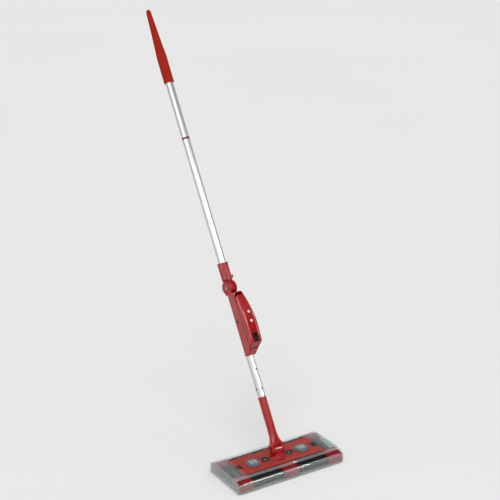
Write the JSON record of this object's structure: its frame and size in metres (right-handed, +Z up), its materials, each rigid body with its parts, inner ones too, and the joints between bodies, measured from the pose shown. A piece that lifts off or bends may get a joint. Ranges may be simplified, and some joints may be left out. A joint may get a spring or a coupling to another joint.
{
  "type": "carpet sweeper",
  "caption": "Cordless carpet sweeper: clear-topped rectangular head with four geared brushes, swivelling tilting foot, and a folding pole with battery case and long grip.",
  "frame": {"origin": "on the floor under the swivel axis, at the middle of the head", "axes": "+Z up, +X along the head to its right end, +Y to the rear, where the handle leans; the front faces -Y"},
  "size_m": [0.3, 0.6728, 1.0033],
  "materials": {
    "clear_cover": "clear polished moulding",
    "red_plastic": "glossy moulded plastic",
    "dark_red_plastic": "satin moulded plastic",
    "painted_plate": "painted steel plate",
    "black_plastic": "satin moulded plastic",
    "bristle": "nylon bristle",
    "steel": "turned steel",
    "aluminium_tube": "satin anodised tube",
    "grey_plastic": "grey-green moulded plastic",
    "white_lens": "milky lens",
    "cell_wrap": "battery cells in green wrap",
    "board": "circuit board",
    "grip_rubber": "soft ribbed moulding"
  },
  "bodies": {
    "head": {"top_cover": "clear_cover", "deck": "red_plastic", "base_frame": "painted_plate", "corner_block_front_left": "red_plastic", "corner_block_front_right": "red_plastic", "corner_block_rear_left": "red_plastic", "corner_block_rear_right": "red_plastic", "centre_block": "red_plastic", "motor": "steel", "dust_bins": "dark_red_plastic", "head_screws": "steel"},
    "front_brush": {"front_shaft": "steel", "front_core": "black_plastic", "front_bristles": "bristle", "front_gears": "black_plastic"},
    "rear_brush": {"rear_shaft": "steel", "rear_core": "black_plastic", "rear_bristles": "bristle", "rear_gears": "black_plastic"},
    "left_brush": {"left_shaft": "steel", "left_core": "black_plastic", "left_bristles": "bristle", "left_gears": "black_plastic"},
    "right_brush": {"right_shaft": "steel", "right_core": "black_plastic", "right_bristles": "bristle", "right_gears": "black_plastic"},
    "pinion": {"motor_pinion": "steel"},
    "idler": {"idler_gear": "black_plastic"},
    "front_left_wheel": {"wheel_front_left": "black_plastic"},
    "front_right_wheel": {"wheel_front_right": "black_plastic"},
    "rear_left_wheel": {"wheel_rear_left": "black_plastic"},
    "rear_right_wheel": {"wheel_rear_right": "black_plastic"},
    "left_door": {"dust_door_left": "painted_plate"},
    "right_door": {"dust_door_right": "painted_plate"},
    "left_button": {"release_button_left": "grey_plastic"},
    "right_button": {"release_button_right": "grey_plastic"},
    "foot": {"swivel_foot": "red_plastic", "foot_retainer": "steel", "neck_pin": "steel"},
    "stem": {"neck": "red_plastic", "lower_tube": "aluminium_tube", "case_rear_shell": "red_plastic", "case_front_shell": "red_plastic", "battery_cells": "cell_wrap", "circuit_board": "board", "switch_body": "black_plastic", "indicator_lenses": "white_lens", "charging_socket": "black_plastic", "fold_pin": "steel"},
    "tube_snap": {"tube_snap_button": "steel"},
    "front_snap": {"neck_snap_button_front": "steel"},
    "side_snap": {"neck_snap_button_side": "steel"},
    "switch": {"rocker": "black_plastic"},
    "handle": {"fold_collar": "red_plastic", "middle_tube": "aluminium_tube", "tube_ring": "dark_red_plastic", "upper_tube": "aluminium_tube", "grip": "grip_rubber"},
    "latch": {"fold_release": "dark_red_plastic"}
  },
  "joints": [
    {"name": "head_swivel", "type": "hinge", "parent": "head", "child": "foot", "pos_m": [0, 0, 0.0285], "axis": [0, 0, 1], "continuous": true},
    {"name": "neck_tilt", "type": "hinge", "parent": "foot", "child": "stem", "pos_m": [0, 0, 0.048], "axis": [-1, 0, 0], "range_deg": [-32.2, 55.8]},
    {"name": "handle_fold", "type": "hinge", "parent": "stem", "child": "handle", "pos_m": [0, 0.21555, 0.39028], "axis": [0.9781, 0.1759, -0.1108], "range_deg": [0, 90]},
    {"name": "latch_press", "type": "slide", "parent": "handle", "child": "latch", "axis": [-0.9781, -0.1759, 0.1108], "range_m": [0, 0.0025], "stiffness_N_per_m": 400, "springref_m": -0.0008},
    {"name": "rocker_tilt", "type": "hinge", "parent": "stem", "child": "switch", "pos_m": [0.00813, 0.11181, 0.29733], "axis": [0.9781, 0.1759, -0.1108], "range_deg": [0, 14]},
    {"name": "front_brush_spin", "type": "hinge", "parent": "head", "child": "front_brush", "pos_m": [0, -0.05, 0.0135], "axis": [1, 0, 0], "continuous": true},
    {"name": "right_brush_spin", "type": "hinge", "parent": "head", "child": "right_brush", "pos_m": [0.131, 0, 0.0135], "axis": [0, 1, 0], "continuous": true},
    {"name": "left_brush_spin", "type": "hinge", "parent": "head", "child": "left_brush", "pos_m": [-0.131, 0, 0.0135], "axis": [0, 1, 0], "continuous": true},
    {"name": "rear_brush_spin", "type": "hinge", "parent": "head", "child": "rear_brush", "pos_m": [0, 0.05, 0.0135], "axis": [1, 0, 0], "continuous": true},
    {"name": "idler_spin", "type": "hinge", "parent": "head", "child": "idler", "pos_m": [0, -0.03447, 0.01269], "axis": [1, 0, 0], "continuous": true},
    {"name": "pinion_spin", "type": "hinge", "parent": "head", "child": "pinion", "pos_m": [0, -0.02294, 0.01208], "axis": [1, 0, 0], "continuous": true},
    {"name": "front_left_wheel_spin", "type": "hinge", "parent": "head", "child": "front_left_wheel", "pos_m": [-0.1149, -0.059, 0.006], "axis": [1, 0, 0], "continuous": true},
    {"name": "front_right_wheel_spin", "type": "hinge", "parent": "head", "child": "front_right_wheel", "pos_m": [0.1149, -0.059, 0.006], "axis": [1, 0, 0], "continuous": true},
    {"name": "rear_left_wheel_spin", "type": "hinge", "parent": "head", "child": "rear_left_wheel", "pos_m": [-0.1149, 0.059, 0.006], "axis": [1, 0, 0], "continuous": true},
    {"name": "rear_right_wheel_spin", "type": "hinge", "parent": "head", "child": "rear_right_wheel", "pos_m": [0.1149, 0.059, 0.006], "axis": [1, 0, 0], "continuous": true},
    {"name": "left_door_swing", "type": "hinge", "parent": "head", "child": "left_door", "pos_m": [-0.049, 0, 0.00405], "axis": [0, -1, 0], "range_deg": [0, 75]},
    {"name": "right_door_swing", "type": "hinge", "parent": "head", "child": "right_door", "pos_m": [0.049, 0, 0.00405], "axis": [0, 1, 0], "range_deg": [0, 75]},
    {"name": "left_button_press", "type": "slide", "parent": "head", "child": "left_button", "axis": [0, 0, -1], "range_m": [0, 0.004], "stiffness_N_per_m": 300, "springref_m": -0.0015},
    {"name": "right_button_press", "type": "slide", "parent": "head", "child": "right_button", "axis": [0, 0, -1], "range_m": [0, 0.004], "stiffness_N_per_m": 300, "springref_m": -0.0015},
    {"name": "tube_snap_press", "type": "slide", "parent": "stem", "child": "tube_snap", "axis": [-0.2079, 0.8277, -0.5212], "range_m": [0, 0.0012], "stiffness_N_per_m": 800, "springref_m": -0.0006},
    {"name": "front_snap_press", "type": "slide", "parent": "stem", "child": "front_snap", "axis": [-0.2079, 0.8277, -0.5212], "range_m": [0, 0.0012], "stiffness_N_per_m": 800, "springref_m": -0.0006},
    {"name": "side_snap_press", "type": "slide", "parent": "stem", "child": "side_snap", "axis": [0.9781, 0.1759, -0.1108], "range_m": [0, 0.0012], "stiffness_N_per_m": 800, "springref_m": -0.0006}
  ],
  "couplings": [
    {"joint": "right_brush_spin", "follows": "front_brush_spin", "ratio": 1},
    {"joint": "left_brush_spin", "follows": "front_brush_spin", "ratio": -1},
    {"joint": "rear_brush_spin", "follows": "front_brush_spin", "ratio": -1},
    {"joint": "idler_spin", "follows": "front_brush_spin", "ratio": -1.3846},
    {"joint": "pinion_spin", "follows": "front_brush_spin", "ratio": 1.8}
  ]
}
